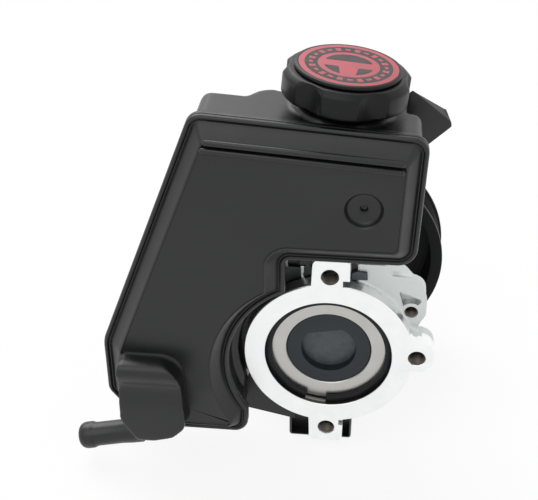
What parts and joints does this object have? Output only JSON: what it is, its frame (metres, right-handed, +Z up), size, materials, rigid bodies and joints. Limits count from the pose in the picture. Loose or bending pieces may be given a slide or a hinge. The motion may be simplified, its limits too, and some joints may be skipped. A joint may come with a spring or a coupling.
{
  "type": "power steering pump",
  "caption": "Belt-driven vane pump for power steering, with a moulded fluid reservoir, filler cap, return hose spigot and a bolt-on flange.",
  "frame": {"origin": "on the shaft's axis, in the machined face of the mounting flange", "axes": "+Y along the shaft from the mounting flange to the belt pulley, +Z up towards the filler cap, +X to the right when looking at the flange"},
  "size_m": [0.1928, 0.1512, 0.2197],
  "materials": {
    "moulded_nylon": "satin moulded",
    "cast_aluminium": "as cast with machined faces",
    "ground_steel": "ground",
    "spring_steel": "blackened",
    "phosphated_steel": "phosphated",
    "black_paint": "satin black paint",
    "nitrile_rubber": "matte",
    "sintered_bronze": "sintered",
    "red_print": "printed"
  },
  "bodies": {
    "pump": {"pump_housing": "cast_aluminium", "end_cover": "phosphated_steel", "end_cover_retaining_ring": "spring_steel", "end_cover_o_ring": "nitrile_rubber", "pressure_plate": "ground_steel", "pressure_plate_o_ring": "nitrile_rubber", "pressure_plate_spring": "spring_steel", "cam_ring": "ground_steel", "dowel_pin_upper": "ground_steel", "dowel_pin_lower": "ground_steel", "thrust_plate": "ground_steel", "shaft_bush": "sintered_bronze", "shaft_seal": "nitrile_rubber", "bearing_outer_ring": "ground_steel", "bearing_snap_ring": "spring_steel", "outlet_fitting": "ground_steel", "outlet_fitting_seal": "nitrile_rubber", "flow_control_spring": "spring_steel", "suction_seal": "nitrile_rubber", "reservoir_front_shell": "moulded_nylon", "reservoir_rear_shell": "moulded_nylon", "reservoir_clip_left": "spring_steel", "reservoir_clip_right": "spring_steel"},
    "rotating_group": {"drive_shaft": "ground_steel", "pulley": "black_paint", "rotor": "ground_steel", "rotor_retaining_ring": "spring_steel", "bearing_inner_ring": "ground_steel"},
    "ball_cage": {"bearing_cage": "sintered_bronze", "bearing_ball_1": "ground_steel", "bearing_ball_2": "ground_steel", "bearing_ball_3": "ground_steel", "bearing_ball_4": "ground_steel", "bearing_ball_5": "ground_steel", "bearing_ball_6": "ground_steel", "bearing_ball_7": "ground_steel", "bearing_ball_8": "ground_steel"},
    "vane_1_body": {"vane_1": "ground_steel"},
    "vane_2_body": {"vane_2": "ground_steel"},
    "vane_3_body": {"vane_3": "ground_steel"},
    "vane_4_body": {"vane_4": "ground_steel"},
    "vane_5_body": {"vane_5": "ground_steel"},
    "vane_6_body": {"vane_6": "ground_steel"},
    "vane_7_body": {"vane_7": "ground_steel"},
    "vane_8_body": {"vane_8": "ground_steel"},
    "vane_9_body": {"vane_9": "ground_steel"},
    "vane_10_body": {"vane_10": "ground_steel"},
    "spool": {"flow_control_spool": "ground_steel"},
    "cap_rise": {"cap_gasket": "nitrile_rubber"},
    "cap": {"filler_cap": "moulded_nylon", "cap_disc": "red_print", "dipstick": "moulded_nylon"}
  },
  "joints": [
    {"name": "shaft_spin", "type": "hinge", "parent": "pump", "child": "rotating_group", "pos_m": [0, 0, 0], "axis": [0, 1, 0], "continuous": true},
    {"name": "cage_spin", "type": "hinge", "parent": "pump", "child": "ball_cage", "pos_m": [0, 0, 0], "axis": [0, 1, 0], "continuous": true},
    {"name": "vane_1_slide", "type": "slide", "parent": "rotating_group", "child": "vane_1_body", "axis": [1, 0, 0], "range_m": [0, 0.001]},
    {"name": "vane_2_slide", "type": "slide", "parent": "rotating_group", "child": "vane_2_body", "axis": [0.809, 0, 0.5878], "range_m": [0, 0.001]},
    {"name": "vane_3_slide", "type": "slide", "parent": "rotating_group", "child": "vane_3_body", "axis": [0.309, 0, 0.9511], "range_m": [0, 0.001]},
    {"name": "vane_4_slide", "type": "slide", "parent": "rotating_group", "child": "vane_4_body", "axis": [-0.309, 0, 0.9511], "range_m": [0, 0.001]},
    {"name": "vane_5_slide", "type": "slide", "parent": "rotating_group", "child": "vane_5_body", "axis": [-0.809, 0, 0.5878], "range_m": [0, 0.001]},
    {"name": "vane_6_slide", "type": "slide", "parent": "rotating_group", "child": "vane_6_body", "axis": [-1, 0, 0], "range_m": [0, 0.001]},
    {"name": "vane_7_slide", "type": "slide", "parent": "rotating_group", "child": "vane_7_body", "axis": [-0.809, 0, -0.5878], "range_m": [0, 0.001]},
    {"name": "vane_8_slide", "type": "slide", "parent": "rotating_group", "child": "vane_8_body", "axis": [-0.309, 0, -0.9511], "range_m": [0, 0.001]},
    {"name": "vane_9_slide", "type": "slide", "parent": "rotating_group", "child": "vane_9_body", "axis": [0.309, 0, -0.9511], "range_m": [0, 0.001]},
    {"name": "vane_10_slide", "type": "slide", "parent": "rotating_group", "child": "vane_10_body", "axis": [0.809, 0, -0.5878], "range_m": [0, 0.001]},
    {"name": "spool_slide", "type": "slide", "parent": "pump", "child": "spool", "axis": [0, 0, 1], "range_m": [0, 0.0045], "deforming": ["flow_control_spring"]},
    {"name": "cap_lift", "type": "slide", "parent": "pump", "child": "cap_rise", "axis": [0.0958, 0, 0.9954], "range_m": [0, 0.075]},
    {"name": "cap_turn", "type": "hinge", "parent": "cap_rise", "child": "cap", "pos_m": [0.0052, 0.0185, 0.1534], "axis": [0.0958, 0, 0.9954], "range_deg": [0, 90]}
  ],
  "couplings": [
    {"joint": "cage_spin", "follows": "shaft_spin", "ratio": 0.3829},
    {"joint": "vane_2_slide", "follows": "vane_1_slide", "ratio": 1},
    {"joint": "vane_3_slide", "follows": "vane_1_slide", "ratio": 1},
    {"joint": "vane_4_slide", "follows": "vane_1_slide", "ratio": 1},
    {"joint": "vane_5_slide", "follows": "vane_1_slide", "ratio": 1},
    {"joint": "vane_6_slide", "follows": "vane_1_slide", "ratio": 1},
    {"joint": "vane_7_slide", "follows": "vane_1_slide", "ratio": 1},
    {"joint": "vane_8_slide", "follows": "vane_1_slide", "ratio": 1},
    {"joint": "vane_9_slide", "follows": "vane_1_slide", "ratio": 1},
    {"joint": "vane_10_slide", "follows": "vane_1_slide", "ratio": 1}
  ]
}
